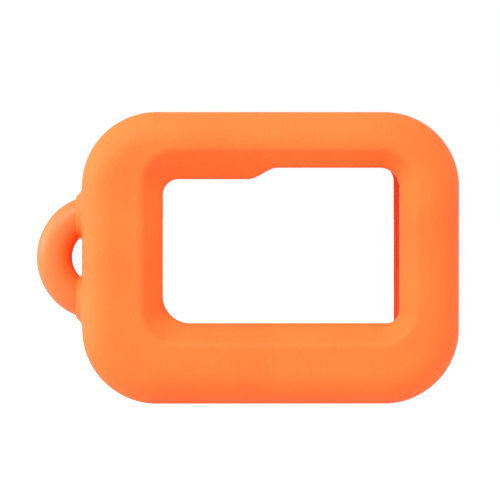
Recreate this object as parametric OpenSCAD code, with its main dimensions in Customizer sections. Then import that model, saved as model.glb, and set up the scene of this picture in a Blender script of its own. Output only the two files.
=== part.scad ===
// Float case for an action camera: a buoyant bumper of moulded closed-cell foam.
// The camera goes in from the back, lens towards -Y, and the rear cover closes on it.
// X runs across the case, Y runs from the front to the back, Z is up.
// The origin is the centre of the flat foot that the case stands on.

/* [Camera] */
// Width of the camera that the case holds
camera_w = 71.8; // [71:0.1:73]
// Height of the camera
camera_h = 50.8; // [50:0.1:52]
// Depth of the camera without its lens
camera_d = 27.4; // [27:0.1:28]

/* [Foam] */
// Foam from the camera's side to the outside
side_wall = 12.1; // [12:0.1:13]
// Foam from the camera's top or bottom to the outside
top_wall = 11.7; // [11.5:0.1:12.5]
// Depth of the whole case
body_d = 46; // [46:0.5:48]
// Radius of the four corners seen from the front
corner_r = 19; // [18:0.5:20]
// Radius of the rounded outer edges
edge_r = 8; // [7:0.5:9]
// Thickness of the knitted lining
lining = 1; // [0.8:0.1:1]

/* [Front window] */
// Left edge of the window, from the centre plane
window_left = 27.4; // [26:0.1:28]
// Right edge of the window, from the centre plane
window_right = 32.8; // [32:0.1:33]
// Bottom edge of the window, below the centre
window_low = 16.6; // [15.5:0.1:17]
// Top edge over the small screen, above the centre
window_top = 20; // [20:0.1:20.5]
// Top edge over the lens, above the centre
lens_top = 22.9; // [22.8:0.1:23.2]
// Radius of the window's corners
window_r = 4; // [3:0.5:4.5]
// Radius of its lower left corner
window_low_left_r = 7; // [5:0.5:8]

/* [Lanyard loop] */
// Outer radius of the loop
loop_r = 16.1; // [16:0.1:17]
// Radius of the slot's curved side
slot_r = 7; // [7:0.1:8]
// Thickness of the loop, front to back
loop_t = 11; // [10:0.5:11]

/* [Buttons] */
// Place of the shutter button from the centre plane
shutter_x = -19; // [-20:0.5:-18]
// Height of the mode button above the foot
mode_z = 45.8; // [45:0.1:46]
// Travel of both buttons
button_travel = 1.4; // [1:0.1:1.4]

/* [Openings] */
// Length of the slot under the camera's folding fingers
finger_slot_l = 40; // [36:1:42]
// Width of that slot
finger_slot_w = 16; // [14:1:16]

/* [Closure] */
// Height of the closure tab
tab_h = 14; // [12:1:14]
// Height of the tab's lower edge above the foot
tab_low = 20.5; // [20:0.5:21]

/* [Hidden] */

body_w = camera_w + 2 * side_wall;
body_h = camera_h + 2 * top_wall;
mid_z = body_h / 2;
front_y = -body_d / 2;
rear_y = body_d / 2;

// The foam is in three layers. They meet at the middle and at the rear seam.
seam_y = 13;
seam_gap = 0.2;
cover_y = seam_y + seam_gap;

// The pocket leaves room for the lining and a little play round the camera.
play = 0.3;
pocket_w = camera_w + 2 * (play + lining);
pocket_h = camera_h + 2 * (play + lining);
pocket_r = 3;
front_wall = 9;
pocket_front_y = front_y + front_wall;
pocket_rear_y = pocket_front_y + 2 * lining + 2 * 0.2 + camera_d;

// Front window and the bevel that leads into it.
step_x = -2;
step_run = 7.6;
step_rise = lens_top - window_top;
step_r = (step_run * step_run + step_rise * step_rise) / (4 * step_rise);
bevel_left = 5.6;
bevel_right = 4.1;
bevel_low = 5.6;
bevel_top = 7.9;
bevel_slope = 0.95;
bevel_depth = 7.6;
ridge_r = 9;

// Rear window, over the camera's screen.
rear_left = 31.5;
rear_right = 32.7;
rear_low = 20.5;
rear_top = 23.6;
rear_bevel = 5;
rear_ridge_r = 8;

// Loop, its two legs' pegs and the plate that holds them inside the foam.
loop_x = -body_w / 2 + 4.4;
loop_edge_r = min(4.4, (loop_r - slot_r) / 2 - 0.1);
leg_end_x = loop_x - 1;
peg_z = (loop_r + slot_r) / 2;
peg_d = 5;
peg_head_d = 8;
peg_head_t = 1;
anchor_t = 2;
anchor_h = 38;
anchor_d = 18;
anchor_r = 3;
slip = 0.1;

// Fabric strip over the rear seam on the left, in a shallow seat of its own.
strip_t = 0.8;
strip_front_y = 6.6;
strip_rear_y = 19.5;
strip_low = 20;
strip_high = body_h - 20;

// Closure tab on the right, with the two tapes under it.
tab_t = 1.2;
tape_t = 0.8;
tape_gap = 0.1;
tab_seat = tab_t + 2 * tape_t + tape_gap;
tab_free_y = -6;
grip_y = -10.5;
grip_t = 1.9;
grip_ribs = 3;
scoop_r = 3;
tape_front_y = -5;
tape_rear_y = 11;

// Button stack, measured inwards from the outer surface.
cap_sink = 0.3;
flange_top = 4.2;
flange_t = 1.2;
ring_t = 2.4;
groove_low = flange_top + flange_t + ring_t + 0.05;
socket_top = 3;
bore_play = 0.3;
stem_play = 0.6;
shutter_size = 13;
mode_size = 10.6;
flange_out = 3.2;
stem_share = 0.62;

foam = "darkorange";
rubber = "orangered";
knit = "chocolate";
nylon = "gray";

$fn = 64;

// A rectangle in 2D, centred, with round corners made of true arcs.
module rounded(w, h, r) {
    square([w - 2 * r, h], center = true);
    square([w, h - 2 * r], center = true);
    for (x = [-1, 1], y = [-1, 1])
        translate([x * (w / 2 - r), y * (h / 2 - r)])
            circle(r);
}

// The same rectangle, given by its edges.
module rounded_box(left, low, right, high, r) {
    translate([(left + right) / 2, (low + high) / 2])
        rounded(right - left, high - low, r);
}

// Extrudes an outline drawn in X and Z from y0 to y1.
module deep(y0, y1) {
    translate([0, y1, 0])
        rotate([90, 0, 0])
            linear_extrude(y1 - y0)
                children();
}

// The full outside of the case: two crossed slabs and a round puck in each corner.
module outside() {
    rotate([90, 0, 90])
        linear_extrude(body_w - 2 * corner_r, center = true)
            translate([0, mid_z])
                rounded(body_d, body_h, edge_r);
    translate([0, 0, corner_r])
        linear_extrude(body_h - 2 * corner_r)
            rounded(body_w, body_d, edge_r);
    for (x = [-1, 1], z = [corner_r, body_h - corner_r])
        translate([x * (body_w / 2 - corner_r), 0, z])
            rotate([90, 0, 0])
                rotate_extrude()
                    intersection() {
                        rounded(2 * corner_r, body_d, edge_r);
                        translate([0, -body_d])
                            square([body_d, 2 * body_d]);
                    }
}

// Keeps what lies between two depths.
module layer(y0, y1) {
    intersection() {
        children();
        translate([-body_w, y0, -body_h])
            cube([2 * body_w, y1 - y0, 3 * body_h]);
    }
}

// The pocket for the camera, less by the lining when inset is the lining's thickness.
module pocket(inset, y0, y1) {
    translate([0, 0, mid_z])
        deep(y0, y1)
            rounded(pocket_w - 2 * inset, pocket_h - 2 * inset, pocket_r - inset / 2);
}

// Outline of the front window. Its top edge steps up in a smooth curve towards the lens.
module window_outline(grow) {
    curve_left = step_x - step_run / 2 - grow;
    curve_right = step_x + step_run / 2 - grow;
    difference() {
        rounded_box(-window_left - grow, -window_low - grow, window_right + grow, window_top + grow, window_r);
        translate([-window_left - grow, -window_low - grow])
            corner_fill(window_low_left_r);
    }
    rounded_box(curve_right, -window_low - grow, window_right + grow, lens_top + grow, window_r);
    rounded_box(curve_right - step_r, 0, curve_right + 10, lens_top + grow, step_r);
    difference() {
        translate([curve_left, window_top + grow - 1])
            square([step_run / 2, 1 + step_rise / 2]);
        translate([curve_left, window_top + grow + step_r])
            circle(step_r);
    }
}

// What has to go from a square corner at the origin to give it the radius r.
module corner_fill(r) {
    difference() {
        translate([-1, -1])
            square(r + 1);
        translate([r, r])
            circle(r);
    }
}

module front_window() {
    translate([0, 0, mid_z]) {
        deep(front_y - 1, pocket_front_y + 1)
            window_outline(0);
        front_bevel();
    }
}

// Rectangle round the mouth of the front window, shrunk by inset on every side.
module front_mouth(inset, r) {
    rounded_box(
        -window_left - bevel_left + inset, -window_low - bevel_low + inset,
        window_right + bevel_right - inset, window_top + bevel_top - inset, r, $fn = 32);
}

// The sloping sides of the window's mouth. They run on until they meet the window.
module front_bevel() {
    inset = bevel_depth / bevel_slope;
    hull() {
        deep(front_y - 0.5, front_y)
            front_mouth(0, ridge_r);
        deep(front_y + bevel_depth - 0.1, front_y + bevel_depth)
            front_mouth(inset, ridge_r - inset + 2);
    }
}

module rear_window() {
    translate([0, 0, mid_z]) {
        deep(seam_y - 1, rear_y + 1)
            rounded_box(-rear_left, -rear_low, rear_right, rear_top, window_r);
        hull() {
            deep(rear_y, rear_y + 0.5)
                rounded_box(
                    -rear_left - rear_bevel, -rear_low - rear_bevel,
                    rear_right + rear_bevel, rear_top + rear_bevel, rear_ridge_r, $fn = 32);
            deep(rear_y - rear_bevel, rear_y - rear_bevel + 0.5)
                rounded_box(-rear_left, -rear_low, rear_right, rear_top, window_r, $fn = 32);
        }
    }
}

// The stadium under the camera's folding fingers.
module finger_slot() {
    translate([0, 0, -1])
        linear_extrude(top_wall + 2) {
            square([finger_slot_l - finger_slot_w, finger_slot_w], center = true);
            for (x = [-1, 1])
                translate([x * (finger_slot_l - finger_slot_w) / 2, 0])
                    circle(finger_slot_w / 2);
        }
}

// Ring of the lanyard loop. grow makes the seat that the foam has for its legs.
module loop_ring(grow) {
    intersection() {
        translate([loop_x, 0, mid_z])
            rotate([90, 0, 0])
                rotate_extrude()
                    translate([(loop_r + slot_r) / 2, 0])
                        rounded(loop_r - slot_r + 2 * grow, loop_t + 2 * grow, loop_edge_r);
        translate([leg_end_x - body_w, -body_d, 0])
            cube([body_w + grow, 2 * body_d, body_h]);
    }
}

module along_x(x, z, d, l) {
    translate([x, 0, z])
        rotate([0, 90, 0])
            cylinder(d = d, h = l);
}

// Two pegs with headed ends, that go through the anchor plate.
module loop_pegs(grow) {
    for (side = [-1, 1]) {
        along_x(leg_end_x - 1, mid_z + side * peg_z, peg_d + 2 * grow, anchor_t + slip + 1.2);
        along_x(
            leg_end_x + anchor_t + slip - grow, mid_z + side * peg_z,
            peg_head_d + 2 * grow, peg_head_t + 2 * grow);
    }
}

module anchor_block(grow) {
    translate([leg_end_x + slip / 2 - grow, 0, mid_z])
        rotate([90, 0, 90])
            linear_extrude(anchor_t + 2 * grow)
                rounded(anchor_d + 2 * grow, anchor_h + 2 * grow, anchor_r);
}

module loop_seat() {
    loop_ring(slip);
    anchor_block(slip / 2);
    loop_pegs(slip);
}

// A thin skin of the case's straight sides, t thick, between two depths.
module side_skin(t, y0, y1, z0, z1, side) {
    intersection() {
        translate([0, 0, z0])
            linear_extrude(z1 - z0)
                difference() {
                    rounded(body_w, body_d, edge_r);
                    rounded(body_w - 2 * t, body_d - 2 * t, edge_r - t);
                }
        translate([side > 0 ? 0 : -body_w, y0, 0])
            cube([body_w, y1 - y0, body_h]);
    }
}

module strip_seat() {
    side_skin(strip_t, strip_front_y, strip_rear_y, strip_low, strip_high, -1);
}

module tab_seat_cut() {
    translate([body_w / 2 - tab_seat, grip_y - 0.4, tab_low - 0.3])
        cube([tab_seat + 1, seam_y - grip_y + 0.4, tab_h + 0.6]);
    translate([body_w / 2, grip_y - 0.4, tab_low - 0.3])
        cylinder(r = scoop_r, h = tab_h + 0.6);
}

// Sets children along the button's way in: +Z of the child is outwards.
module at_shutter() {
    translate([shutter_x, 0, body_h])
        children();
}

module at_mode() {
    translate([body_w / 2, 0, mode_z])
        rotate([0, 90, 0])
            children();
}

// What the foam leaves out round one button: dish, bore, groove and stem hole.
module button_bore(size, wall) {
    dish_r = size / 2 + 3;
    dish_depth = 1.4;
    ball_r = (dish_r * dish_r + dish_depth * dish_depth) / (2 * dish_depth);
    translate([0, 0, ball_r - dish_depth])
        sphere(ball_r);
    translate([0, 0, -flange_top - slip])
        cylinder(d = size + 2 * bore_play, h = flange_top + 1);
    translate([0, 0, -groove_low])
        cylinder(d = size + flange_out + 0.8, h = groove_low - flange_top + slip);
    translate([0, 0, -wall - 1])
        cylinder(d = size * stem_share + 2 * stem_play, h = wall);
}

// Soft cap with a flange, and a socket for its plunger.
module button_pad(size) {
    difference() {
        union() {
            translate([0, 0, -flange_top])
                cylinder(d = size, h = flange_top - cap_sink);
            translate([0, 0, -flange_top - flange_t])
                cylinder(d = size + flange_out, h = flange_t);
        }
        translate([0, 0, -flange_top - flange_t - 1])
            cylinder(d = size * stem_share, h = flange_top + flange_t + 1 - socket_top);
    }
}

module button_plunger(size, wall) {
    translate([0, 0, -wall + button_travel])
        cylinder(d = size * stem_share, h = wall - button_travel - socket_top);
}

module button_ring(size) {
    translate([0, 0, -flange_top - flange_t - ring_t])
        difference() {
            cylinder(d = size + flange_out, h = ring_t);
            translate([0, 0, -1])
                cylinder(d = size * stem_share + 2 * stem_play, h = ring_t + 2);
        }
}

module front_shell() {
    color(foam)
        difference() {
            layer(front_y - 1, 0)
                outside();
            pocket(0, pocket_front_y, 1);
            front_window();
            finger_slot();
            loop_seat();
            tab_seat_cut();
            at_shutter() button_bore(shutter_size, top_wall);
            at_mode() button_bore(mode_size, side_wall);
        }
}

module centre_frame() {
    color(foam)
        difference() {
            layer(0, seam_y)
                outside();
            pocket(0, -1, seam_y + 1);
            finger_slot();
            loop_seat();
            strip_seat();
            tab_seat_cut();
            at_shutter() button_bore(shutter_size, top_wall);
            at_mode() button_bore(mode_size, side_wall);
        }
}

module rear_cover() {
    color(foam)
        difference() {
            layer(cover_y, rear_y + 1)
                outside();
            pocket(0, seam_y - 1, pocket_rear_y);
            rear_window();
            strip_seat();
            side_skin(tab_t, seam_y - 1, strip_rear_y, tab_low, tab_low + tab_h, 1);
        }
}

module cavity_lining() {
    set_back = 1.2;
    color(knit)
        difference() {
            pocket(0, pocket_front_y, seam_y);
            pocket(lining, pocket_front_y + lining, seam_y + 1);
            translate([0, 0, mid_z])
                deep(front_y, 0)
                    window_outline(set_back);
            finger_slot();
            at_shutter() button_bore(shutter_size, top_wall);
            at_mode() button_bore(mode_size, side_wall);
        }
}

module cover_lining() {
    color(knit)
        difference() {
            pocket(0, pocket_rear_y - lining, pocket_rear_y);
            translate([0, 0, mid_z])
                deep(seam_y, rear_y)
                    rounded_box(-rear_left - 1, -rear_low - 1, rear_right + 1, rear_top + 1, window_r);
        }
}

module lanyard_loop() {
    color(rubber) {
        loop_ring(0);
        loop_pegs(0);
    }
}

module loop_anchor_plate() {
    color(nylon)
        difference() {
            anchor_block(0);
            loop_pegs(slip);
        }
}

module hinge_strip_frame_half() {
    color(rubber)
        side_skin(strip_t, strip_front_y, seam_y, strip_low, strip_high, -1);
}

module hinge_strip_cover_half() {
    color(rubber)
        side_skin(strip_t, cover_y, strip_rear_y, strip_low, strip_high, -1);
}

module tab_root() {
    color(rubber)
        side_skin(tab_t, cover_y, strip_rear_y, tab_low, tab_low + tab_h, 1);
}

module closure_tab() {
    color(rubber)
        translate([body_w / 2 - tab_t, tab_free_y, tab_low])
            cube([tab_t, seam_y - tab_free_y, tab_h]);
}

// Moulded end of the tab, with ribs for the thumb.
module tab_grip() {
    rib_pitch = (tab_free_y - grip_y) / grip_ribs;
    color(rubber)
        translate([body_w / 2 - grip_t, grip_y, tab_low])
            difference() {
                cube([grip_t, tab_free_y - grip_y, tab_h]);
                for (i = [1 : grip_ribs - 1])
                    translate([grip_t - 0.3, i * rib_pitch - 0.3, 1])
                        cube([1, 0.6, tab_h - 2]);
            }
}

module hook_tape() {
    color(nylon)
        translate([body_w / 2 - tab_t - tape_t, tape_front_y, tab_low + 1])
            cube([tape_t, tape_rear_y - tape_front_y, tab_h - 2]);
}

module loop_tape() {
    color(nylon)
        translate([body_w / 2 - tab_seat, tape_front_y, tab_low + 1])
            cube([tape_t, tape_rear_y - tape_front_y, tab_h - 2]);
}

module shutter_pad() {
    color(rubber)
        at_shutter() button_pad(shutter_size);
}

module shutter_plunger() {
    color(nylon)
        at_shutter() button_plunger(shutter_size, top_wall);
}

module shutter_return_ring() {
    color(nylon)
        at_shutter() button_ring(shutter_size);
}

module mode_pad() {
    color(rubber)
        at_mode() button_pad(mode_size);
}

module mode_plunger() {
    color(nylon)
        at_mode() button_plunger(mode_size, side_wall);
}

module mode_return_ring() {
    color(nylon)
        at_mode() button_ring(mode_size);
}

front_shell();
centre_frame();
rear_cover();
cavity_lining();
cover_lining();
lanyard_loop();
loop_anchor_plate();
hinge_strip_frame_half();
hinge_strip_cover_half();
closure_tab();
tab_root();
tab_grip();
hook_tape();
loop_tape();
shutter_pad();
shutter_plunger();
shutter_return_ring();
mode_pad();
mode_plunger();
mode_return_ring();
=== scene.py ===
"""Looks of the float case: foam shells, knitted linings, woven strips and rubber parts on the CAD frame.

The soft parts are sculpted as signed distance fields, so that every moulded edge gets its real rounding.
A field is negative inside the part.
"""

import math

import bpy
import numpy as np
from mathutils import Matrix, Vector


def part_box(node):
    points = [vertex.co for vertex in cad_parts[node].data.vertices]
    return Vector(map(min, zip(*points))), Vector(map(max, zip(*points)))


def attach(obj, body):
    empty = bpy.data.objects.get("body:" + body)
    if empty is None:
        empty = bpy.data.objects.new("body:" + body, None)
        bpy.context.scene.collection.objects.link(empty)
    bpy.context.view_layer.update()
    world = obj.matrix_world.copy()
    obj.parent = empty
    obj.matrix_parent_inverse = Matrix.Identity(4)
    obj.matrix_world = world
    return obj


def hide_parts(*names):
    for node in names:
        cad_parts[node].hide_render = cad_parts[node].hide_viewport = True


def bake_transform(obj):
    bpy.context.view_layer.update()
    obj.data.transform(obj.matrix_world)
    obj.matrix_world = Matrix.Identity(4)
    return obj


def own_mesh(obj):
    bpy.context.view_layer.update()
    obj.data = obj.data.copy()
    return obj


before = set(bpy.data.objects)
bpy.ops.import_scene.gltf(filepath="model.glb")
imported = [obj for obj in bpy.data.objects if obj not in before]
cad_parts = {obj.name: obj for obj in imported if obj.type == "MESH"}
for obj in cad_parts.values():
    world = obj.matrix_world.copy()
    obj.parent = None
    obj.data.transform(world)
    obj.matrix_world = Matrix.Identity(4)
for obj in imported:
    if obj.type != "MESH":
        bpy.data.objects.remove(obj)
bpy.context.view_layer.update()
MM = 0.001


# ---------------------------------------------------------------- places taken from the CAD frame

def node_box(name):
    """Lowest and highest corner of a CAD node, in millimetres."""
    low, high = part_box(name)
    return np.array(low) / MM, np.array(high) / MM


shell_low, shell_high = node_box("front_shell")
middle_high = node_box("centre_frame")[1]
cover_low, cover_high = node_box("rear_cover")
lining_low, lining_high = node_box("cavity_lining")
back_lining_low, back_lining_high = node_box("cover_lining")
loop_low, loop_high = node_box("lanyard_loop")
plate_low, plate_high = node_box("loop_anchor_plate")
strip_low, strip_high = node_box("hinge_strip_frame_half")
strip_back_high = node_box("hinge_strip_cover_half")[1]
tab_low, tab_high = node_box("closure_tab")
root_low, root_high = node_box("tab_root")
grip_low, grip_high = node_box("tab_grip")

HALF_W = shell_high[0]
HEIGHT = shell_high[2]
MID_Z = HEIGHT / 2
FRONT_Y = shell_low[1]
REAR_Y = cover_high[1]
SEAM_Y = middle_high[1]
COVER_Y = cover_low[1]
POCKET_W = lining_high[0]
POCKET_LOW = lining_low[2]
POCKET_HIGH = lining_high[2]
POCKET_FRONT_Y = lining_low[1]
POCKET_REAR_Y = back_lining_high[1]
LINING = back_lining_high[1] - back_lining_low[1]

# The same design values as the CAD has.
CORNER_R = 19.0
EDGE_R = 8.0
WINDOW_LEFT, WINDOW_RIGHT = -27.4, 32.8
WINDOW_LOW, WINDOW_TOP, LENS_TOP = MID_Z - 16.6, MID_Z + 20.0, MID_Z + 22.9
WINDOW_RADII = {"top_left": 4.0, "top_right": 5.0, "low_left": 7.0, "low_right": 3.4}
STEP_X, STEP_RUN = -2.0, 7.4
MOUTH_LEFT, MOUTH_RIGHT = WINDOW_LEFT - 5.6, WINDOW_RIGHT + 4.1
MOUTH_LOW, MOUTH_TOP = WINDOW_LOW - 5.6, WINDOW_TOP + 7.9
MOUTH_SLOPE = 0.95
MOUTH_R = 9.0
REAR_LEFT, REAR_RIGHT = -31.5, 32.7
REAR_LOW, REAR_TOP = MID_Z - 20.5, MID_Z + 23.6
REAR_FLARE = 5.0
REAR_R, REAR_MOUTH_R = 4.0, 8.0
POCKET_R = 3.0
SLOT_LENGTH, SLOT_WIDTH = 40.0, 16.0
LOOP_X = -43.6
LOOP_INNER, LOOP_OUTER, LOOP_EDGE_R = 7.0, 16.1, 4.4
LEG_END_X = LOOP_X - 1
PEG_Z = (LOOP_INNER + LOOP_OUTER) / 2
PEG_R, PEG_HEAD_R, PEG_HEAD_T = 2.5, 4.0, 1.0
SEAT_DEPTH, TAB_SEAT = 0.8, 2.9
TAB_T = 1.2

# Gaps between neighbours, and how far a cut runs past what it cuts.
GLUE_GAP = 0.05
STRIP_PLAY, TAB_PLAY, GRIP_PLAY = 0.15, 0.3, 0.4
OVERCUT = 1.0

# What only the visual model has: a crown on the faces, a collar round the loop's legs, and small roundings.
CROWN = 0.35
COLLAR_WALL, COLLAR_REACH, COLLAR_FILLET, COLLAR_RIM_R = 0.6, 1.6, 2.0, 0.5
LOOP_SQUEEZE = 0.6
SEAM_GAP = 0.02
SEAM_R = 0.55
WINDOW_EDGE_R, REAR_EDGE_R = 0.6, 1.4
POCKET_EDGE_R, SLOT_EDGE_R, BUTTON_EDGE_R = 0.3, 1.6, 0.5
SEAT_EDGE_R, TAB_SEAT_EDGE_R = 0.15, 0.35
CLOTH_EDGE_R, CLOTH_HOLE_R = 0.35, 0.3
LOOP_HOLE_R, ANCHOR_EDGE_R = 0.3, 0.1

# Button stacks, measured inwards from the outer surface. wall is the way from there to the camera, and up
# is the axis along which the button points outwards.
CAP_SINK = 0.3
DOME_SHARE = 2.2
FLANGE_TOP, FLANGE_T = 4.2, 1.2
RING_T, RING_GAP, RING_EDGE_R = 2.4, 0.02, 0.8
GROOVE_LOW = FLANGE_TOP + FLANGE_T + RING_T + GLUE_GAP
SOCKET_TOP = 3.0
BORE_PLAY, STEM_PLAY, GROOVE_PLAY = 0.3, 0.6, 0.4
STEM_HOLE_REACH = 20
FLANGE_OUT = 3.2
STEM_SHARE = 0.62
DISH_WIDER, DISH_DEPTH = 3.0, 1.4
TRAVEL = 1.4
SHUTTER = {"size": 13.0, "place": (-19.0, 0.0, HEIGHT), "wall": 11.7, "up": 2}
MODE = {"size": 10.6, "place": (HALF_W, 0.0, 45.8), "wall": 12.1, "up": 0}


# ---------------------------------------------------------------- distance fields

def round_min(a, b, r):
    """Union of two fields with a fillet of radius r where they meet."""
    return np.maximum(r, np.minimum(a, b)) - np.hypot(np.maximum(r - a, 0), np.maximum(r - b, 0))


def round_max(a, b, r):
    """Intersection of two fields with its edge rounded to radius r."""
    return np.minimum(-r, np.maximum(a, b)) + np.hypot(np.maximum(r + a, 0), np.maximum(r + b, 0))


def cut(body, hole, r):
    """Takes hole out of body and rounds the edge it leaves."""
    return round_max(body, -hole, r)


def span(v, low, high):
    """Distance to a slab between two parallel planes."""
    return np.maximum(low - v, v - high)


def rounded_rect(u, v, left, low, right, high, r):
    """Rectangle in a plane with corners of radius r."""
    a = np.abs(u - (left + right) / 2) - (right - left) / 2 + r
    b = np.abs(v - (low + high) / 2) - (high - low) / 2 + r
    return np.hypot(np.maximum(a, 0), np.maximum(b, 0)) + np.minimum(np.maximum(a, b), 0) - r


def four_sides(left, right, low, top, radii):
    """Window-like outline from four edge distances, with its own radius in each corner."""
    return np.maximum(
        np.maximum(round_max(left, top, radii["top_left"]), round_max(right, top, radii["top_right"])),
        np.maximum(round_max(left, low, radii["low_left"]), round_max(right, low, radii["low_right"])),
    )


def outside(x, y, z):
    """The whole case without any opening. Its faces are slightly crowned."""
    outline = rounded_rect(x, z, -HALF_W, 0, HALF_W, HEIGHT, CORNER_R)
    crown = CROWN * (np.square(x / HALF_W) + np.square((z - MID_Z) / MID_Z))
    return round_max(outline, np.abs(y) - REAR_Y + crown, EDGE_R)


def window_outline(x, z, grow=0.0):
    """The front window, whose top edge steps up in a soft S over the lens."""
    share = np.clip((x - STEP_X) / STEP_RUN + 0.5, 0, 1)
    rise = LENS_TOP - WINDOW_TOP
    top_edge = WINDOW_TOP + grow + rise * share * share * (3 - 2 * share)
    slope = rise / STEP_RUN * 6 * share * (1 - share)
    return four_sides(
        WINDOW_LEFT - grow - x, x - WINDOW_RIGHT - grow, WINDOW_LOW - grow - z,
        (z - top_edge) / np.sqrt(1 + slope * slope), WINDOW_RADII,
    )


def front_opening(x, y, z):
    """The window and the sloping mouth in front of it."""
    inner_fillet = 0.8
    straight = np.maximum(window_outline(x, z), y - POCKET_FRONT_Y - OVERCUT)
    depth = y - FRONT_Y
    outline = rounded_rect(x, z, MOUTH_LEFT, MOUTH_LOW, MOUTH_RIGHT, MOUTH_TOP, MOUTH_R)
    lean = math.hypot(1, 1 / MOUTH_SLOPE)
    return round_min(straight, (outline + depth / MOUTH_SLOPE) / lean, inner_fillet)


def rear_opening(x, y, z):
    """The rear window and the mouth behind it, which slopes at 45 degrees."""
    inner_fillet = 1.2
    straight = np.maximum(
        rounded_rect(x, z, REAR_LEFT, REAR_LOW, REAR_RIGHT, REAR_TOP, REAR_R), SEAM_Y - OVERCUT - y)
    outline = rounded_rect(
        x, z, REAR_LEFT - REAR_FLARE, REAR_LOW - REAR_FLARE,
        REAR_RIGHT + REAR_FLARE, REAR_TOP + REAR_FLARE, REAR_MOUTH_R)
    return round_min(straight, (outline + (REAR_Y - y)) / math.sqrt(2), inner_fillet)


def pocket(x, y, z, inset, y_low, y_high):
    """The room for the camera, made smaller all round by inset."""
    outline = rounded_rect(
        x, z, -POCKET_W + inset, POCKET_LOW + inset,
        POCKET_W - inset, POCKET_HIGH - inset, POCKET_R - inset / 2)
    return np.maximum(outline, span(y, y_low, y_high))


def finger_slot(x, y, z):
    """Stadium through the bottom wall."""
    straight = (SLOT_LENGTH - SLOT_WIDTH) / 2
    across = np.hypot(np.maximum(np.abs(x) - straight, 0), y) - SLOT_WIDTH / 2
    return np.maximum(across, z - MID_Z)


def loop_ring(x, y, z, grow=0.0):
    """The loop without its pegs, made larger all round by grow."""
    radius = np.hypot(x - LOOP_X, z - MID_Z)
    section = rounded_rect(
        radius, y, LOOP_INNER - grow, loop_low[1] - grow,
        LOOP_OUTER + grow, loop_high[1] + grow, LOOP_EDGE_R + grow)
    return np.maximum(section, x - LEG_END_X - grow)


def loop_collar(x, y, z):
    """Foam that swells a little round each leg of the loop."""
    radius = np.hypot(x - LOOP_X, z - MID_Z)
    section = rounded_rect(
        radius, y, LOOP_INNER + LOOP_SQUEEZE, loop_low[1] - COLLAR_WALL,
        LOOP_OUTER + COLLAR_WALL, loop_high[1] + COLLAR_WALL, LOOP_EDGE_R)
    return round_max(np.maximum(section, x - LEG_END_X), -HALF_W - COLLAR_REACH - x, COLLAR_RIM_R)


def loop_pegs(x, y, z, grow=0.0):
    """The two pegs that go through the anchor plate, with their heads behind it."""
    short_of_top, head_rim_r = 0.6, 0.3
    radius = np.hypot(y, np.abs(z - MID_Z) - PEG_Z)
    stem = np.maximum(radius - PEG_R - grow, span(x, LEG_END_X - OVERCUT, loop_high[0] - short_of_top))
    head = span(x, loop_high[0] - PEG_HEAD_T - grow, loop_high[0] + grow)
    return np.minimum(stem, round_max(radius - PEG_HEAD_R - grow, head, head_rim_r))


def button_axes(x, y, z, button):
    """Distance from the button's axis, and height along it, which grows outwards from 0 at the surface."""
    px, py, pz = button["place"]
    if button["up"] == 2:
        return np.hypot(x - px, y - py), z - pz
    return np.hypot(y - py, z - pz), x - px


def button_bore(x, y, z, button):
    """Everything that the foam leaves out round one button."""
    radius, height = button_axes(x, y, z, button)
    size = button["size"]
    dish_r = size / 2 + DISH_WIDER
    ball_r = (dish_r * dish_r + DISH_DEPTH * DISH_DEPTH) / (2 * DISH_DEPTH)
    dish = np.hypot(radius, height - ball_r + DISH_DEPTH) - ball_r
    lap, above, below = 0.1, 5, 3
    bore = np.maximum(radius - size / 2 - BORE_PLAY, span(height, -FLANGE_TOP - lap, above))
    groove = np.maximum(
        radius - size / 2 - FLANGE_OUT / 2 - GROOVE_PLAY, span(height, -GROOVE_LOW, -FLANGE_TOP + lap))
    stem = np.maximum(
        radius - size * STEM_SHARE / 2 - STEM_PLAY, span(height, -button["wall"] - below, -FLANGE_TOP))
    return round_min(dish, np.minimum(np.minimum(bore, groove), stem), BUTTON_EDGE_R)


def strip_seat(x, y, z, body):
    """Shallow seat for the hinge strip, cut to an even depth under the case's surface."""
    area = np.maximum(
        span(y, strip_low[1] - STRIP_PLAY, strip_back_high[1] + STRIP_PLAY),
        span(z, strip_low[2] - STRIP_PLAY, strip_high[2] + STRIP_PLAY))
    return np.maximum(np.maximum(area, x), -body - SEAT_DEPTH - GLUE_GAP)


def tab_seat(x, y, z):
    """Deep seat for the closure tab and its tapes, with a scoop for the thumb in front."""
    front_y = grip_low[1] - GRIP_PLAY
    scoop_r, scoop_fillet = 3.0, 0.6
    slot = np.maximum(HALF_W - TAB_SEAT - x, np.maximum(front_y - y, y - SEAM_Y - 2 * OVERCUT))
    scoop = np.hypot(x - HALF_W, y - front_y) - scoop_r
    height = span(z, tab_low[2] - TAB_PLAY, tab_high[2] + TAB_PLAY)
    return np.maximum(round_min(slot, scoop, scoop_fillet), height)


def root_seat(x, y, z, body):
    """Shallow seat in the cover for the bonded end of the closure tab's strip."""
    area = np.maximum(
        span(y, SEAM_Y - 2 * OVERCUT, root_high[1] + STRIP_PLAY),
        span(z, root_low[2] - STRIP_PLAY, root_high[2] + STRIP_PLAY))
    return np.maximum(np.maximum(area, -x), -body - TAB_T - GLUE_GAP)


def anchor_seat(x, y, z):
    """Space inside the foam for the plate and the two headed pegs."""
    seat_r, peg_play = 3, 0.1
    plate = np.maximum(
        span(x, plate_low[0] - GLUE_GAP, plate_high[0] + GLUE_GAP),
        rounded_rect(
            y, z, plate_low[1] - GLUE_GAP, plate_low[2] - GLUE_GAP,
            plate_high[1] + GLUE_GAP, plate_high[2] + GLUE_GAP, seat_r))
    return np.minimum(plate, loop_pegs(x, y, z, peg_play))


def case_body(x, y, z):
    """The outside with the collar of the loop, before the case is divided at its seams."""
    return round_min(outside(x, y, z), loop_collar(x, y, z), COLLAR_FILLET)


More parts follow.
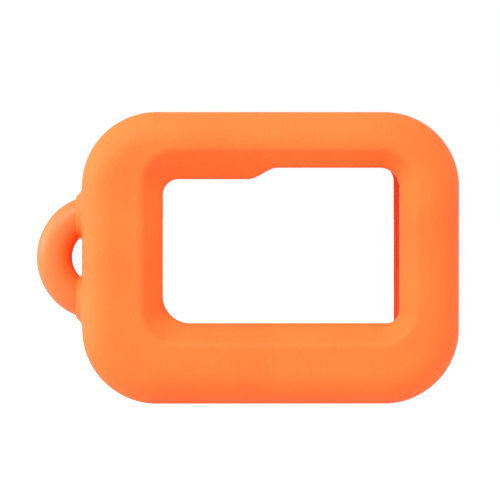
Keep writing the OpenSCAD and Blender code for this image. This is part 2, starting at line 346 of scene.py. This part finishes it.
def case_details(foam, x, y, z):
    """Cuts that the front shell and the centre frame share."""
    foam = cut(foam, finger_slot(x, y, z), SLOT_EDGE_R)
    foam = cut(foam, button_bore(x, y, z, SHUTTER), BUTTON_EDGE_R)
    foam = cut(foam, button_bore(x, y, z, MODE), BUTTON_EDGE_R)
    foam = cut(foam, loop_ring(x, y, z, -LOOP_SQUEEZE), LOOP_HOLE_R)
    foam = cut(foam, anchor_seat(x, y, z), ANCHOR_EDGE_R)
    return cut(foam, tab_seat(x, y, z), TAB_SEAT_EDGE_R)


def front_shell(x, y, z):
    foam = round_max(case_body(x, y, z), y, SEAM_R)
    foam = cut(foam, front_opening(x, y, z), WINDOW_EDGE_R)
    foam = cut(foam, pocket(x, y, z, 0, POCKET_FRONT_Y, SEAM_Y), POCKET_EDGE_R)
    return case_details(foam, x, y, z)


def centre_frame(x, y, z):
    body = outside(x, y, z)
    foam = round_max(case_body(x, y, z), span(y, 0, COVER_Y - SEAM_GAP), SEAM_R)
    foam = cut(foam, pocket(x, y, z, 0, -OVERCUT, SEAM_Y + 9 * OVERCUT), POCKET_EDGE_R)
    foam = cut(foam, strip_seat(x, y, z, body), SEAT_EDGE_R)
    return case_details(foam, x, y, z)


def rear_cover(x, y, z):
    body = outside(x, y, z)
    foam = round_max(body, COVER_Y - y, SEAM_R)
    foam = cut(foam, rear_opening(x, y, z), REAR_EDGE_R)
    foam = cut(foam, pocket(x, y, z, 0, 0, POCKET_REAR_Y), POCKET_EDGE_R)
    foam = cut(foam, strip_seat(x, y, z, body), SEAT_EDGE_R)
    return cut(foam, root_seat(x, y, z, body), SEAT_EDGE_R)


def cavity_lining(x, y, z):
    """Cloth on the pocket's walls and front, sunk a little into the foam, with holes where needed."""
    window_hem, stem_hole_r = 1.2, 0.25
    cloth = pocket(x, y, z, -GLUE_GAP, POCKET_FRONT_Y - GLUE_GAP, SEAM_Y)
    inside = pocket(x, y, z, LINING, POCKET_FRONT_Y + LINING, SEAM_Y + 5 * OVERCUT)
    cloth = cut(cloth, inside, CLOTH_EDGE_R)
    cloth = cut(cloth, window_outline(x, z, window_hem) + 0 * y, CLOTH_HOLE_R)
    cloth = cut(cloth, finger_slot(x, y, z), CLOTH_HOLE_R)
    for button in (SHUTTER, MODE):
        radius, height = button_axes(x, y, z, button)
        hole = np.maximum(radius - button["size"] * STEM_SHARE / 2 - STEM_PLAY, -height - STEM_HOLE_REACH)
        cloth = cut(cloth, hole, stem_hole_r)
    return cloth


def cover_lining(x, y, z):
    """Cloth on the cover's inner face, with a hem round the rear window."""
    hem = 1
    cloth = round_max(
        rounded_rect(x, z, -POCKET_W, POCKET_LOW, POCKET_W, POCKET_HIGH, POCKET_R),
        span(y, back_lining_low[1], back_lining_high[1] + GLUE_GAP), CLOTH_EDGE_R)
    opening = rounded_rect(x, z, REAR_LEFT - hem, REAR_LOW - hem, REAR_RIGHT + hem, REAR_TOP + hem, REAR_R)
    return cut(cloth, opening + 0 * y, CLOTH_EDGE_R)


def lanyard_loop(x, y, z):
    """The moulded loop with its two legs and pegs."""
    leg_end_r = 0.4
    radius = np.hypot(x - LOOP_X, z - MID_Z)
    section = rounded_rect(radius, y, LOOP_INNER, loop_low[1], LOOP_OUTER, loop_high[1], LOOP_EDGE_R)
    legs = round_max(section, x - LEG_END_X, leg_end_r)
    return np.minimum(legs, loop_pegs(x, y, z))


def button_pad(button):
    """Domed cap over a flange, with a groove round a dot, and a socket for the plunger."""
    def field(x, y, z):
        radius, height = button_axes(x, y, z, button)
        size = button["size"]
        top = height + CAP_SINK
        dome_r = DOME_SHARE * size
        rim_r, lower_rim_r, flange_rim_r, flange_fillet = 0.7, 0.1, 0.3, 0.25
        groove_place, groove_r, groove_sink, groove_edge_r = 0.3 * size, 0.45, 0.35, 0.15
        dot_r, dot_sink, dot_fillet = 0.85, 0.55, 0.2
        dome = np.hypot(radius, top + dome_r) - dome_r
        cap = round_max(round_max(radius - size / 2, dome, rim_r), -FLANGE_TOP - height, lower_rim_r)
        flange = span(height, -FLANGE_TOP - FLANGE_T, -FLANGE_TOP)
        flange = round_max(radius - (size + FLANGE_OUT) / 2, flange, flange_rim_r)
        pad = round_min(cap, flange, flange_fillet)
        groove = np.hypot(radius - groove_place, top + groove_sink) - groove_r
        dot = np.hypot(radius, top + dot_sink) - dot_r
        pad = cut(pad, groove, groove_edge_r)
        pad = round_min(pad, np.maximum(dot, top), dot_fillet)
        socket = np.maximum(radius - size * STEM_SHARE / 2, span(height, -FLANGE_TOP - 5, -SOCKET_TOP))
        return cut(pad, socket, groove_edge_r)
    return field


def button_plunger(button):
    """Stem from the pad's socket to the camera's button, with a hollow end."""
    def field(x, y, z):
        radius, height = button_axes(x, y, z, button)
        stem_r = button["size"] * STEM_SHARE / 2
        rim_r, hollow_r, hollow_sink, hollow_edge_r = 0.5, 1.4, 0.8, 0.2
        stem = round_max(radius - stem_r, span(height, TRAVEL - button["wall"], -SOCKET_TOP), rim_r)
        hollow = np.hypot(radius, height - TRAVEL + button["wall"] + hollow_sink) - hollow_r
        return cut(stem, hollow, hollow_edge_r)
    return field


def button_ring(button):
    """Soft foam washer that bulges a little between its two faces."""
    def field(x, y, z):
        radius, height = button_axes(x, y, z, button)
        inner = button["size"] * STEM_SHARE / 2 + STEM_PLAY
        outer = (button["size"] + FLANGE_OUT) / 2
        top = -FLANGE_TOP - FLANGE_T
        wall = np.maximum(inner - radius, radius - outer)
        return round_max(wall, span(height, top - RING_T, top - RING_GAP), RING_EDGE_R)
    return field


# ---------------------------------------------------------------- meshes from fields

# The corners of a grid cell are numbered by their bits, and an edge joins two that differ in one bit.
EDGES = [(a, b) for a in range(8) for b in range(a + 1, 8) if bin(a ^ b).count("1") == 1]


def surface_nets(values, origin, step):
    """Quads along the zero surface of a grid of values, one vertex in each cell that it crosses."""
    inside = values < 0
    shape = np.array(values.shape) - 1
    corner = [np.array([c & 1, c >> 1 & 1, c >> 2 & 1]) for c in range(8)]

    def shifted(grid, c):
        i, j, k = corner[c]
        return grid[i:i + shape[0], j:j + shape[1], k:k + shape[2]]

    count = sum(shifted(inside, c).astype(np.int8) for c in range(8))
    mixed = (count > 0) & (count < 8)
    cells = np.argwhere(mixed)
    index = np.full(shape, -1, np.int64)
    index[mixed] = np.arange(len(cells))
    total = np.zeros((len(cells), 3))
    hits = np.zeros(len(cells))
    at_corner = [shifted(values, c)[mixed] for c in range(8)]
    for a, b in EDGES:
        va, vb = at_corner[a], at_corner[b]
        crossed = (va < 0) != (vb < 0)
        share = np.where(crossed, va / np.where(crossed, va - vb, 1), 0)
        point = corner[a] + share[:, None] * (corner[b] - corner[a])
        total += np.where(crossed[:, None], point, 0)
        hits += crossed
    points = origin + step * (cells + total / hits[:, None])
    faces = []
    for axis in range(3):
        u, v = (axis + 1) % 3, (axis + 2) % 3
        ahead = np.take(inside, range(1, inside.shape[axis]), axis)
        behind = np.take(inside, range(inside.shape[axis] - 1), axis)
        at = np.argwhere(ahead != behind)
        leaves = behind[tuple(at.T)]
        keep = (at[:, u] > 0) & (at[:, v] > 0) & (at[:, u] < shape[u]) & (at[:, v] < shape[v])
        at, leaves = at[keep], leaves[keep]
        quad = []
        for du, dv in ((1, 1), (0, 1), (0, 0), (1, 0)):
            cell = at.copy()
            cell[:, u] -= du
            cell[:, v] -= dv
            quad.append(index[tuple(cell.T)])
        quad = np.stack(quad, 1)
        quad[~leaves] = quad[~leaves][:, ::-1]
        faces.append(quad)
    return points, np.concatenate(faces)


def sculpt(name, field, low, high, step):
    """A smooth mesh of a field between two corners, with its points moved on to the true surface."""
    margin = 2.5 * step
    nudge, rounds, longest_move, least_slope = 0.04, 3, 0.4 * step, 0.2
    low, high = np.array(low, float) - margin, np.array(high, float) + margin
    axes = [np.arange(low[i], high[i] + step, step) for i in range(3)]
    x, y, z = axes[0][:, None, None], axes[1][None, :, None], axes[2][None, None, :]
    values = np.broadcast_to(field(x, y, z), [len(a) for a in axes])
    points, faces = surface_nets(values, low, step)
    for _ in range(rounds):
        here = field(*points.T)
        slope = np.stack([
            (field(*(points + nudge * e).T) - field(*(points - nudge * e).T)) / (2 * nudge)
            for e in np.eye(3)], 1)
        size = np.maximum((slope * slope).sum(1), least_slope)
        move = -(here / size)[:, None] * slope
        length = np.maximum(np.linalg.norm(move, axis=1), 1e-9)
        points = points + move * np.minimum(1, longest_move / length)[:, None]
    return mesh_object(name, points, faces)


def mesh_object(name, points, faces):
    """An object in metres from points in millimetres. Its name is the piece's name."""
    mesh = bpy.data.meshes.new(name)
    mesh.from_pydata((np.asarray(points) * MM).tolist(), [], [list(map(int, f)) for f in faces])
    mesh.validate()
    mesh.shade_smooth()
    piece = bpy.data.objects.new(name, mesh)
    bpy.context.scene.collection.objects.link(piece)
    return piece


# ---------------------------------------------------------------- materials

class Nodes:
    """Short calls for building one material's node tree."""

    def __init__(self, name):
        self.material = bpy.data.materials.new(name)
        self.material.use_nodes = True
        self.tree = self.material.node_tree
        self.shader = self.tree.nodes["Principled BSDF"]
        self.place = self.tree.nodes.new("ShaderNodeTexCoord").outputs["Object"]

    def link(self, source, target):
        """Joins an output to a socket, or sets the socket where source is a number."""
        if isinstance(source, (int, float)):
            target.default_value = source
        else:
            self.tree.links.new(source, target)

    def noise(self, scale, detail=2.0):
        node = self.tree.nodes.new("ShaderNodeTexNoise")
        node.inputs["Scale"].default_value = scale
        node.inputs["Detail"].default_value = detail
        self.link(self.place, node.inputs["Vector"])
        return node.outputs["Fac"]

    def cells(self, scale, feature="F1"):
        node = self.tree.nodes.new("ShaderNodeTexVoronoi")
        node.feature = feature
        node.inputs["Scale"].default_value = scale
        self.link(self.place, node.inputs["Vector"])
        return node.outputs["Distance"]

    def math(self, kind, a, b=0.0, c=0.0):
        node = self.tree.nodes.new("ShaderNodeMath")
        node.operation = kind
        for i, source in enumerate((a, b, c)):
            self.link(source, node.inputs[i])
        return node.outputs[0]

    def axes(self):
        node = self.tree.nodes.new("ShaderNodeSeparateXYZ")
        self.link(self.place, node.inputs[0])
        return node.outputs

    def ramp(self, source, stops):
        """stops: list of (position, colour)."""
        node = self.tree.nodes.new("ShaderNodeValToRGB")
        ramp = node.color_ramp
        while len(ramp.elements) < len(stops):
            ramp.elements.new(0.5)
        for element, (position, colour) in zip(ramp.elements, stops):
            element.position = position
            element.color = (*colour, 1)
        self.link(source, node.inputs["Fac"])
        return node.outputs["Color"]

    def bump(self, layers):
        """layers: list of (height output, strength, distance in metres), coarse first."""
        normal = None
        for height, strength, distance in layers:
            node = self.tree.nodes.new("ShaderNodeBump")
            node.inputs["Strength"].default_value = strength
            node.inputs["Distance"].default_value = distance
            self.link(height, node.inputs["Height"])
            if normal is not None:
                self.link(normal, node.inputs["Normal"])
            normal = node.outputs["Normal"]
        self.link(normal, self.shader.inputs["Normal"])

    def two_tones(self, source, colour, spread, stops=(0.3, 0.7)):
        """Base colour that runs from a little darker to a little lighter as source rises."""
        darker = tuple(c * (1 - spread) for c in colour)
        lighter = tuple(min(1.0, c * (1 + spread)) for c in colour)
        tones = self.ramp(source, [(stops[0], darker), (stops[1], lighter)])
        self.link(tones, self.shader.inputs["Base Color"])

    def rough(self, scale, detail, spread, base):
        """Roughness that varies by spread above base."""
        self.link(self.math("MULTIPLY_ADD", self.noise(scale, detail), spread, base),
                  self.shader.inputs["Roughness"])

    def set(self, **values):
        """Sets shader sockets by name, such as sheen_weight=0.2 for Sheen Weight."""
        for key, value in values.items():
            self.shader.inputs[key.replace("_", " ").title().replace("Ior", "IOR")].default_value = value


FOAM = (0.95, 0.121, 0.022)
RUBBER = (0.94, 0.114, 0.02)
KNIT = (0.8, 0.09, 0.016)
WEBBING = (0.88, 0.1, 0.018)
THREAD_COLOUR = (1.0, 0.28, 0.1)
TAPE = (0.045, 0.045, 0.05)
NYLON = (0.06, 0.06, 0.065)
WEAVE_STOPS = (0.2, 0.8)


def foam_material():
    """Moulded closed-cell foam: a fine pebbled skin over slow, soft unevenness."""
    m = Nodes("foam")
    m.two_tones(m.noise(55, 3), FOAM, 0.07)
    m.rough(900, 2, 0.16, 0.5)
    unevenness = m.noise(140, 2)
    pebble = m.cells(1500, "SMOOTH_F1")
    grain = m.noise(5200, 2)
    m.bump([(unevenness, 0.25, 0.0006), (pebble, 0.5, 0.00016), (grain, 0.35, 0.00006)])
    m.set(specular_ior_level=0.12, subsurface_weight=0.06, subsurface_scale=0.002)
    m.shader.inputs["Subsurface Radius"].default_value = (1.0, 0.35, 0.15)
    return m.material


def rubber_material():
    """Soft moulded rubber: smoother than the foam, with faint flow marks."""
    m = Nodes("soft_rubber")
    m.two_tones(m.noise(90, 3), RUBBER, 0.05)
    m.rough(700, 3, 0.2, 0.38)
    flow, grain = m.noise(260, 2), m.noise(4200, 2)
    m.bump([(flow, 0.15, 0.0003), (grain, 0.25, 0.00004)])
    m.set(specular_ior_level=0.3)
    return m.material


def knit_material():
    """Fine jersey knit: rows of small V stitches."""
    m = Nodes("knit")
    x, y, z = m.axes()
    across = m.math("ADD", x, y)
    along = m.math("ADD", z, y)
    stitch_width, stitch_height = 0.0009, 0.0007
    wale = 2 * math.pi / stitch_width
    course = 2 * math.pi / stitch_height
    lean = m.math("ABSOLUTE", m.math("SINE", m.math("MULTIPLY", across, wale / 2)))
    row = m.math("SINE", m.math("MULTIPLY_ADD", along, course, m.math("MULTIPLY", lean, 2.2)))
    wales = m.math("SINE", m.math("MULTIPLY", across, wale))
    height = m.math("MULTIPLY_ADD", row, 0.5, m.math("MULTIPLY", wales, 0.5))
    # The base colour follows the stitch height: darker in the dips between stitches, a painted shade.
    m.two_tones(m.math("MULTIPLY_ADD", height, 0.25, 0.5), KNIT, 0.22, WEAVE_STOPS)
    m.bump([(height, 0.7, 0.0002), (m.noise(4000, 3), 0.35, 0.00008)])
    m.set(roughness=0.9, specular_ior_level=0.2, sheen_weight=0.25, sheen_roughness=0.5)
    return m.material


def webbing_material():
    """Close plain weave of thick yarn."""
    m = Nodes("webbing")
    x, y, z = m.axes()
    yarn_repeat = 0.0012
    turns = 2 * math.pi / yarn_repeat
    over = m.math("SINE", m.math("MULTIPLY", m.math("ADD", x, y), turns))
    under = m.math("SINE", m.math("MULTIPLY", z, turns))
    weave = m.math("MULTIPLY", over, under)
    ribs = m.math("ABSOLUTE", weave)
    m.two_tones(m.math("MULTIPLY_ADD", weave, 0.3, 0.5), WEBBING, 0.18, WEAVE_STOPS)
    m.bump([(ribs, 0.6, 0.00022), (m.noise(6000, 3), 0.4, 0.00006)])
    m.set(roughness=0.82, specular_ior_level=0.25, sheen_weight=0.2, sheen_roughness=0.45)
    return m.material


def thread_material():
    """Twisted sewing thread."""
    m = Nodes("thread")
    x, y, z = m.axes()
    twist_repeat = 0.0005
    slanting = m.math("ADD", m.math("ADD", x, y), m.math("MULTIPLY", z, 1.7))
    twist = m.math("SINE", m.math("MULTIPLY", slanting, 2 * math.pi / twist_repeat))
    # The base colour follows the twist: darker in the grooves between the strands, a painted shade.
    m.two_tones(m.math("MULTIPLY_ADD", twist, 0.4, 0.5), THREAD_COLOUR, 0.15, WEAVE_STOPS)
    m.bump([(twist, 0.6, 0.00008)])
    m.set(roughness=0.6, sheen_weight=0.15)
    return m.material


def tape_material():
    """Nylon hook and loop tape."""
    m = Nodes("fastener_nylon")
    m.two_tones(m.noise(1800, 3), TAPE, 0.35)
    m.bump([(m.noise(3200, 3), 0.6, 0.00015)])
    m.set(roughness=0.55, specular_ior_level=0.4, sheen_weight=0.3, sheen_roughness=0.4)
    return m.material


def nylon_material():
    """Moulded nylon with a fine spark-eroded texture."""
    m = Nodes("moulded_nylon")
    m.two_tones(m.noise(400, 3), NYLON, 0.2)
    m.rough(2500, 2, 0.2, 0.42)
    m.bump([(m.noise(5000, 2), 0.4, 0.00004)])
    return m.material


def open_foam_material():
    """Open-cell spring foam: small round pores, painted darker inside as shade."""
    m = Nodes("open_cell_foam")
    pores = m.cells(1900)
    # The pores are painted darker than the walls between them: painted shade in the holes.
    pore_shade, wall = (0.03, 0.03, 0.03), (0.11, 0.11, 0.11)
    m.link(m.ramp(pores, [(0.1, pore_shade), (0.6, wall)]), m.shader.inputs["Base Color"])
    m.bump([(pores, 0.9, 0.0003)])
    m.set(roughness=0.95, specular_ior_level=0.15)
    return m.material


MATERIALS = {
    "foam_orange": foam_material(),
    "moulded_rubber": rubber_material(),
    "lining_knit": knit_material(),
    "webbing": webbing_material(),
    "fastener_tape": tape_material(),
    "nylon_plastic": nylon_material(),
    "spring_foam": open_foam_material(),
}
THREAD = thread_material()


def dress(piece, slot, material=None):
    """Gives a piece its material: the one kept under slot, unless material is given."""
    piece.data.materials.clear()
    piece.data.materials.append(material or MATERIALS[slot])


# ---------------------------------------------------------------- the soft parts

# Grid steps: the finer the detail, the smaller the step.
FOAM_STEP, LINING_STEP, COVER_LINING_STEP, LOOP_STEP = 0.45, 0.42, 0.4, 0.25
PAD_STEP, RING_STEP, GRIP_STEP, TAPE_STEP = 0.2, 0.22, 0.16, 0.14


def make_sculpted(node, field, step, slot, body, margin=0.0):
    """Replaces one CAD node by a sculpted piece that rides on the same body.
    margin is how far the field may reach past the node's box."""
    low, high = node_box(node)
    piece = sculpt(node + "_skin", field, low - margin, high + margin, step)
    dress(piece, slot)
    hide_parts(node)
    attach(piece, body)
    return piece


for shell, shell_field, shell_body in (
    ("front_shell", front_shell, "case"),
    ("centre_frame", centre_frame, "case"),
    ("rear_cover", rear_cover, "cover"),
):
    shell_piece = make_sculpted(shell, shell_field, FOAM_STEP, "foam_orange", shell_body, COLLAR_REACH)

make_sculpted("cavity_lining", cavity_lining, LINING_STEP, "lining_knit", "case")
make_sculpted("cover_lining", cover_lining, COVER_LINING_STEP, "lining_knit", "cover")
make_sculpted("lanyard_loop", lanyard_loop, LOOP_STEP, "moulded_rubber", "case")

for kind, button in (("shutter", SHUTTER), ("mode", MODE)):
    make_sculpted(kind + "_pad", button_pad(button), PAD_STEP, "moulded_rubber", kind)
    make_sculpted(kind + "_plunger", button_plunger(button), PAD_STEP, "nylon_plastic", kind)
    ring = make_sculpted(kind + "_return_ring", button_ring(button), RING_STEP, "spring_foam", kind)
    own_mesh(ring)


# ---------------------------------------------------------------- woven strips and tapes

def wall_point(side, s):
    """Point at a run s along the case's side and over its rear rounded edge, with its outward direction.
    The run is counted from the place where the edge begins to bend."""
    centre_x, centre_y = HALF_W - EDGE_R, REAR_Y - EDGE_R
    if s <= 0:
        return side * HALF_W, centre_y + s, side, 0.0
    angle = s / EDGE_R
    return (side * (centre_x + EDGE_R * math.cos(angle)), centre_y + EDGE_R * math.sin(angle),
            side * math.cos(angle), math.sin(angle))


def wall_run(y):
    """The run at which the wall reaches a given y."""
    past = y - (REAR_Y - EDGE_R)
    return past if past <= 0 else EDGE_R * math.asin(min(1.0, past / EDGE_R))


def tube_faces(base, rings, sides, flip=False):
    """Faces of a closed tube whose rings of points follow each other from the point numbered base."""
    faces = []
    for i in range(rings - 1):
        for k in range(sides):
            a, b = base + i * sides + k, base + i * sides + (k + 1) % sides
            faces.append((a, b, b + sides, a + sides) if flip else (a, a + sides, b + sides, b))
    first = [base + k for k in range(sides)]
    last = [base + (rings - 1) * sides + k for k in range(sides)]
    return faces + ([first[::-1], last] if flip else [first, last[::-1]])


def woven_strip(name, side, y_start, y_end, z_low, z_high, thickness):
    """Closed strip with rounded selvedges that follows the case's side and rear edge."""
    pitch, column_pitch, rim, rim_steps = 0.35, 0.5, 0.3, 6
    start, end = wall_run(y_start), wall_run(y_end)
    count = math.ceil((end - start) / pitch)
    path = [wall_point(side, start + (end - start) * i / count) for i in range(count + 1)]
    half = thickness / 2
    flat = z_high - z_low - 2 * rim
    columns = max(4, round((z_high - z_low) / column_pitch))
    turns = [math.pi * k / rim_steps for k in range(1, rim_steps)]
    section = [(z_low + rim + flat * k / columns, 0.0) for k in range(columns + 1)]
    section += [(z_high - rim + rim * math.sin(turn), half - half * math.cos(turn)) for turn in turns]
    section += [(z_high - rim - flat * k / columns, thickness) for k in range(columns + 1)]
    section += [(z_low + rim - rim * math.sin(turn), half + half * math.cos(turn)) for turn in turns]
    points = [(x - nx * depth, y - ny * depth, z) for x, y, nx, ny in path for z, depth in section]
    return mesh_object(name, points, tube_faces(0, len(path), len(section), flip=side < 0))


def stitches(name, places):
    """Rows of thread stitches: small capsules along Z that sink in at both ends."""
    radius, length = 0.17, 1.7
    rings, sides = 7, 8
    points, faces = [], []
    for place, outward in places:
        place, outward, along = Vector(place), Vector(outward).normalized(), Vector((0, 0, 1))
        third = outward.cross(along)
        faces += tube_faces(len(points), rings, sides)
        for i in range(rings):
            t = i / (rings - 1) * 2 - 1
            r = radius * math.sqrt(max(0.02, 1 - t ** 4))
            middle = place + along * (t * length / 2) + outward * (radius * (0.55 - 0.9 * t * t))
            for k in range(sides):
                turn = 2 * math.pi * k / sides
                points.append(tuple(middle + (outward * math.cos(turn) + third * math.sin(turn)) * r))
    return mesh_object(name, points, faces)


def rows_of_stitches(side, y_values, z_values):
    """Stitch places along Z at each y, on the outer face of a strip."""
    places = []
    for y in y_values:
        px, py, nx, ny = wall_point(side, wall_run(y))
        places += [((px, py, z), (nx, ny, 0)) for z in z_values]
    return places


def steps_between(low, high, pitch):
    """Middles of equal steps, each about one pitch long."""
    count = max(1, round((high - low) / pitch))
    return [low + (high - low) * (i + 0.5) / count for i in range(count)]


def sew(side, rows, z_low, z_high, pitch):
    """Rows of stitches on a strip. rows: list of (piece name, y of each row, body)."""
    run = steps_between(z_low + 1, z_high - 1, pitch)
    for name, y_values, body in rows:
        thread = stitches(name, rows_of_stitches(side, y_values, run))
        dress(thread, "webbing", THREAD)
        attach(thread, body)


def make_hinge_strip():
    """The cover's hinge as it lies with the cover shut: one strip from 1.6 mm in front of the seam to 1.6
    mm behind it, where the real one bends.
    """
    strip = woven_strip(
        "hinge_strip", -1, strip_low[1], strip_back_high[1], strip_low[2], strip_high[2], SEAT_DEPTH)
    dress(strip, "webbing")
    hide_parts("hinge_strip_frame_half", "hinge_strip_cover_half")
    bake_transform(strip)
    sew(-1, [
        ("hinge_stitches_case", (strip_low[1] + 1.0, strip_low[1] + 2.2), "case"),
        ("hinge_stitches_cover", (strip_back_high[1] - 2.4, strip_back_high[1] - 1.2), "cover"),
    ], strip_low[2], strip_high[2], 2.4)


def make_closure_tab():
    """The strip that holds the cover shut, as it lies with the tab closed; the real one bends over the seam
    as the tab folds back.
    """
    strip = woven_strip("closure_strip", 1, tab_low[1], root_high[1], tab_low[2], tab_high[2], TAB_T)
    dress(strip, "webbing")
    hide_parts("closure_tab", "tab_root")
    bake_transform(strip)
    sew(1, [
        ("tab_stitches_cover", (root_high[1] - 2.4, root_high[1] - 1.2), "cover"),
        ("tab_stitches_end", (tab_low[1] + 0.9, tab_low[1] + 2.1, SEAM_Y - 3.2), "tab"),
    ], tab_low[2], tab_high[2], 2.0)


def tab_grip(x, y, z):
    """Moulded end of the tab with thumb ribs. It laps over the strip's end."""
    lap, corner_r, panel_r, ribs, half_depth = 0.4, 1.2, 0.8, 3, 0.17
    block = round_max(
        rounded_rect(y, z, grip_low[1], grip_low[2], grip_high[1] + lap, grip_high[2], corner_r),
        span(x, grip_low[0], grip_high[0]), 0.45)
    rib_pitch = (grip_high[1] - grip_low[1]) / ribs
    wave = half_depth * (1 + np.cos(2 * math.pi * (y - grip_low[1]) / rib_pitch))
    panel = rounded_rect(
        y, z, grip_low[1] + 0.5, grip_low[2] + 1.0, grip_high[1] - 0.2, grip_high[2] - 1.0, panel_r)
    return cut(block, np.maximum(panel, grip_high[0] - wave - x), 0.1)


def tape_base(low, high, outer_side):
    """Thin woven ground of a fastener tape, on the side away from its pile."""
    ground = 0.3
    x0, x1 = (high[0] - ground, high[0]) if outer_side > 0 else (low[0], low[0] + ground)

    def field(x, y, z):
        return round_max(rounded_rect(y, z, low[1], low[2], high[1], high[2], 0.8), span(x, x0, x1), 0.12)
    return field, x0, x1


def pile(low, high, x_root, reach, side, seed):
    """Small bent threads standing on a tape's ground: closed loops of any direction on the loop tape,
    open hooks in rows on the hook tape. reach is how far they stand up, side is the way they point."""
    rng = np.random.default_rng(seed)
    points, faces = [], []
    sides, rings = 6, 9
    radius, pitch, border = 0.07, 0.85, 0.5
    loops = side > 0
    share = 1.0 if loops else 0.8
    for y in steps_between(low[1] + border, high[1] - border, pitch):
        for z in steps_between(low[2] + border, high[2] - border, pitch):
            lean = rng.uniform(0, 2 * math.pi) if loops else math.pi * rng.integers(0, 2)
            spread = rng.uniform(0.16, 0.26)
            off_y, off_z = rng.uniform(-0.12, 0.12, 2)
            root = np.array([x_root, y + off_y, z + off_z])
            up = np.array([side * (reach - radius), 0.0, 0.0])
            along = spread * np.array([0.0, math.cos(lean), math.sin(lean)])
            across = np.array([0.0, -math.sin(lean), math.cos(lean)])
            faces += tube_faces(len(points), rings, sides, flip=True)
            for i in range(rings):
                turn = math.pi * i / (rings - 1) * share
                centre = root + up * math.sin(turn) - along * math.cos(turn)
                tangent = up * math.cos(turn) + along * math.sin(turn)
                normal = np.cross(across, tangent / np.linalg.norm(tangent))
                for k in range(sides):
                    a = 2 * math.pi * k / sides
                    points.append(centre + radius * (normal * math.cos(a) + across * math.sin(a)))
    return points, faces


def make_tape(node, body, outer_side, seed):
    """One half of the fastener: a ground and its pile. outer_side is the way the ground faces along X."""
    low, high = node_box(node)
    field, x0, x1 = tape_base(low, high, outer_side)
    ground = sculpt(node + "_ground", field, (x0, low[1], low[2]), (x1, high[1], high[2]), TAPE_STEP)
    dress(ground, "fastener_tape")
    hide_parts(node)
    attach(ground, body)
    root = x0 if outer_side > 0 else x1
    reach = (high[0] - low[0]) - (x1 - x0)
    threads = mesh_object(node + "_pile", *pile(low, high, root, reach, -outer_side, seed))
    dress(threads, "fastener_tape")
    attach(threads, body)


make_hinge_strip()
make_closure_tab()
make_sculpted("tab_grip", tab_grip, GRIP_STEP, "moulded_rubber", "tab")
make_tape("hook_tape", "tab", outer_side=1, seed=11)
make_tape("loop_tape", "case", outer_side=-1, seed=12)

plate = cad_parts["loop_anchor_plate"]
plate.data.materials.clear()
plate.data.materials.append(MATERIALS["nylon_plastic"])


# ---------------------------------------------------------------- floor, light and camera

def direction(azimuth, elevation):
    """Unit vector towards an azimuth counted from the front, -Y, and an elevation, both in radians."""
    return Vector((math.sin(azimuth) * math.cos(elevation), -math.cos(azimuth) * math.cos(elevation),
                   math.sin(elevation)))


def make_floor():
    """Pale light table: it glows a little, so that the shadows on it stay white."""
    reach, drop = 9000, 0.05
    pale, paler = (0.3, 0.3, 0.3), (0.33, 0.33, 0.33)
    m = Nodes("light_table")
    m.link(m.ramp(m.noise(6, 2), [(0.3, pale), (0.7, paler)]), m.shader.inputs["Base Color"])
    m.set(roughness=0.9, specular_ior_level=0.1, emission_strength=0.9)
    m.shader.inputs["Emission Color"].default_value = (1, 1, 1, 1)
    corners = [(x * reach, y * reach, -drop) for x, y in ((-1, -1), (1, -1), (1, 1), (-1, 1))]
    floor = mesh_object("floor", corners, [(0, 1, 2, 3)])
    floor.data.materials.append(m.material)


def make_light():
    """White all round, with two soft suns: one above on the left, one low from the left."""
    world = bpy.data.worlds.new("studio")
    world.use_nodes = True
    background = world.node_tree.nodes["Background"]
    background.inputs["Color"].default_value = (1, 1, 1, 1)
    background.inputs["Strength"].default_value = 1.0
    bpy.context.scene.world = world
    for name, azimuth, elevation, energy, softness in (
        ("key", -30, 48, 3.5, 35),
        ("side", -90, 15, 3.2, 40),
    ):
        data = bpy.data.lights.new(name, "SUN")
        data.energy = energy
        data.angle = math.radians(softness)
        lamp = bpy.data.objects.new(name, data)
        towards = direction(math.radians(azimuth), math.radians(elevation))
        lamp.rotation_euler = towards.to_track_quat("Z", "Y").to_euler()
        bpy.context.scene.collection.objects.link(lamp)


def make_camera():
    """Long lens, level with the object and a little to its left, as in a catalogue view."""
    distance, azimuth, elevation = 1.5, math.radians(-1.2), math.radians(0.6)
    target = Vector((-5.25, FRONT_Y + EDGE_R, MID_Z + 2.0)) * MM
    width_seen = 0.1272
    data = bpy.data.cameras.new("camera")
    data.sensor_width = 36.0
    data.lens = data.sensor_width * distance / width_seen
    data.clip_start, data.clip_end = 0.05, 60
    camera = bpy.data.objects.new("camera", data)
    away = direction(azimuth, elevation)
    camera.location = target + away * distance
    camera.rotation_euler = away.to_track_quat("Z", "Y").to_euler()
    bpy.context.scene.collection.objects.link(camera)
    bpy.context.scene.camera = camera


make_floor()
make_light()
make_camera()
bpy.context.scene.view_settings.view_transform = "Standard"
